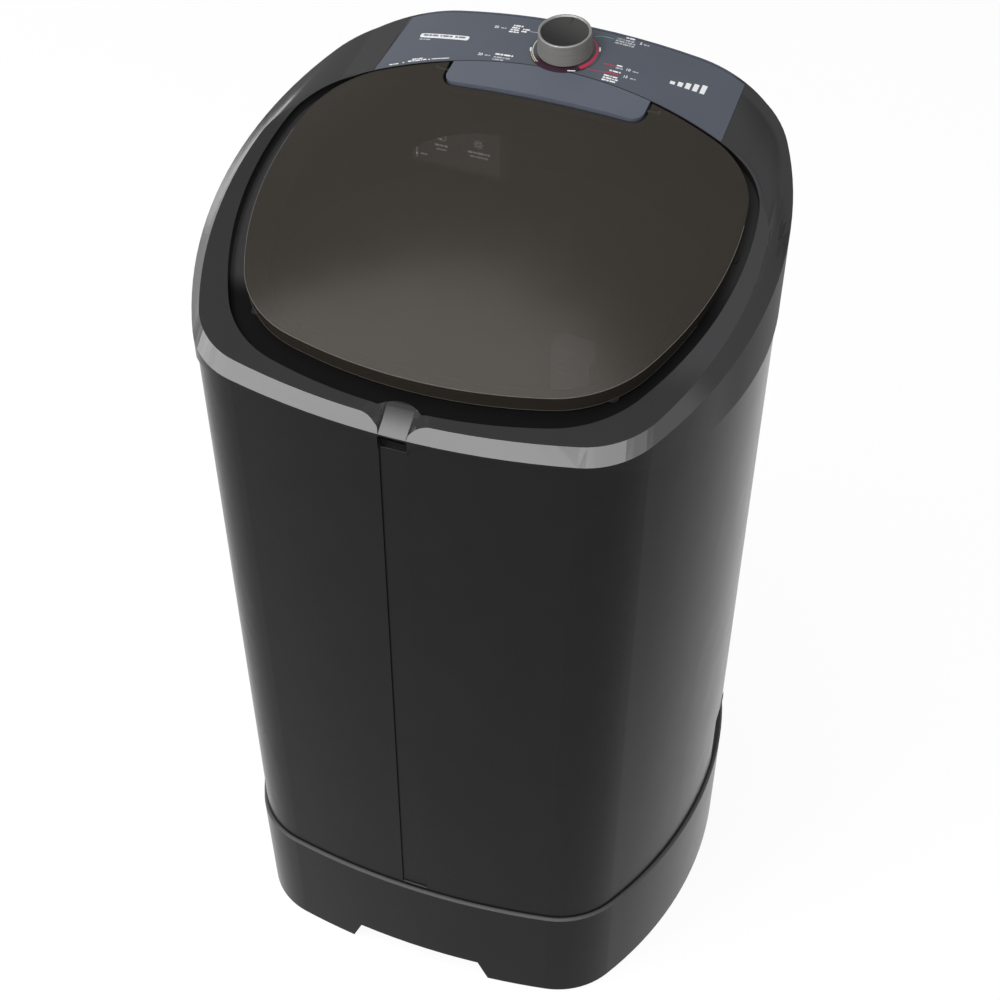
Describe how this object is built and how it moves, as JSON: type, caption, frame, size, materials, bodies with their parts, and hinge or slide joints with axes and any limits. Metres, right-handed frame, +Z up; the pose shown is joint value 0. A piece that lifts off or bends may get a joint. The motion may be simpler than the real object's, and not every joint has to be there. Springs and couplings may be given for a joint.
{
  "type": "washing machine",
  "caption": "Top-loading washing machine with a tapering black body, a sloping oval deck, a hinged smoked lid, one turning dial and a deep tub with an impeller.",
  "frame": {"origin": "on the floor, under the middle of the sloping rim's axes", "axes": "+Z up, the low edge with the finger scoop faces -Y, +X to the right when facing that edge"},
  "size_m": [0.58, 0.5328, 1.0147],
  "materials": {
    "base": "smooth, glossy",
    "rubber_feet": "matt",
    "base_screws": "zinc plated",
    "cabinet_shell": "smooth, glossy",
    "rear_cover": "fine matt",
    "rear_cover_screws": "zinc plated",
    "cord_gland": "matt",
    "top_cover": "satin deck, bright bevel, glossy skirt",
    "cover_screws": "zinc plated",
    "control_panel": "satin",
    "dial_ring": "satin print",
    "hinge_cover": "satin",
    "hinge_pins": "ground",
    "lid_bumpers": "matt",
    "tub": "smooth",
    "tub_screws": "zinc plated",
    "tub_gasket": "matt",
    "bearing_housing": "cast",
    "lower_bush": "sintered",
    "upper_bush": "sintered",
    "shaft_seal": "smooth",
    "motor_bracket": "zinc plated",
    "tub_bolts": "zinc plated",
    "motor_bolts": "zinc plated",
    "motor_grommets": "matt",
    "motor_housing": "semi-gloss",
    "drive_belt": "matt",
    "capacitor": "drawn",
    "capacitor_clip": "spring steel",
    "timer_body": "moulded",
    "filter_housing": "moulded",
    "dispenser": "smooth",
    "level_label": "printed",
    "drain_elbow": "moulded",
    "drain_grate": "moulded",
    "wiring_harness": "sleeved",
    "lid": "smoked, glossy",
    "timer_knob": "satin side, bright rim",
    "knob_cap": "smooth",
    "timer_shaft": "ground",
    "impeller": "smooth",
    "impeller_cap": "smooth",
    "drive_shaft": "ground",
    "drive_pulley": "cast",
    "pulley_nut": "zinc plated",
    "motor_rotor": "laminated",
    "motor_pulley": "turned",
    "lint_filter": "moulded"
  },
  "bodies": {
    "cabinet": {"base": "base", "rubber_feet": "rubber_feet", "base_screws": "base_screws", "cabinet_shell": "cabinet_shell", "rear_cover": "rear_cover", "rear_cover_screws": "rear_cover_screws", "cord_gland": "cord_gland", "top_cover": "top_cover", "cover_screws": "cover_screws", "control_panel": "control_panel", "dial_ring": "dial_ring", "hinge_cover": "hinge_cover", "hinge_pins": "hinge_pins", "lid_bumpers": "lid_bumpers", "tub": "tub", "tub_screws": "tub_screws", "tub_gasket": "tub_gasket", "bearing_housing": "bearing_housing", "lower_bush": "lower_bush", "upper_bush": "upper_bush", "shaft_seal": "shaft_seal", "motor_bracket": "motor_bracket", "tub_bolts": "tub_bolts", "motor_bolts": "motor_bolts", "motor_grommets": "motor_grommets", "motor_housing": "motor_housing", "drive_belt": "drive_belt", "capacitor": "capacitor", "capacitor_clip": "capacitor_clip", "timer_body": "timer_body", "filter_housing": "filter_housing", "dispenser": "dispenser", "level_label": "level_label", "drain_elbow": "drain_elbow", "drain_grate": "drain_grate", "wiring_harness": "wiring_harness"},
    "lid": {"lid": "lid"},
    "knob": {"timer_knob": "timer_knob", "knob_cap": "knob_cap", "timer_shaft": "timer_shaft"},
    "impeller": {"impeller": "impeller", "impeller_cap": "impeller_cap", "drive_shaft": "drive_shaft", "drive_pulley": "drive_pulley", "pulley_nut": "pulley_nut"},
    "motor": {"motor_rotor": "motor_rotor", "motor_pulley": "motor_pulley"},
    "lint_filter": {"lint_filter": "lint_filter"}
  },
  "joints": [
    {"name": "lid_hinge", "type": "hinge", "parent": "cabinet", "child": "lid", "pos_m": [0, 0.1577, 0.96893], "axis": [-1, 0, 0], "range_deg": [0, 108]},
    {"name": "knob_turn", "type": "hinge", "parent": "cabinet", "child": "knob", "pos_m": [0, 0.21002, 0.98676], "axis": [0, -0.1179, 0.993], "range_deg": [-330, 0]},
    {"name": "impeller_spin", "type": "hinge", "parent": "cabinet", "child": "impeller", "pos_m": [0, -0.004, 0.3], "axis": [0, 0, 1], "continuous": true},
    {"name": "motor_spin", "type": "hinge", "parent": "cabinet", "child": "motor", "pos_m": [0.15, -0.004, 0.2], "axis": [0, 0, 1], "continuous": true},
    {"name": "lint_filter_slide", "type": "slide", "parent": "cabinet", "child": "lint_filter", "axis": [0, 0, 1], "range_m": [0, 0.12]}
  ],
  "couplings": [
    {"joint": "motor_spin", "follows": "impeller_spin", "ratio": 3.5185}
  ]
}
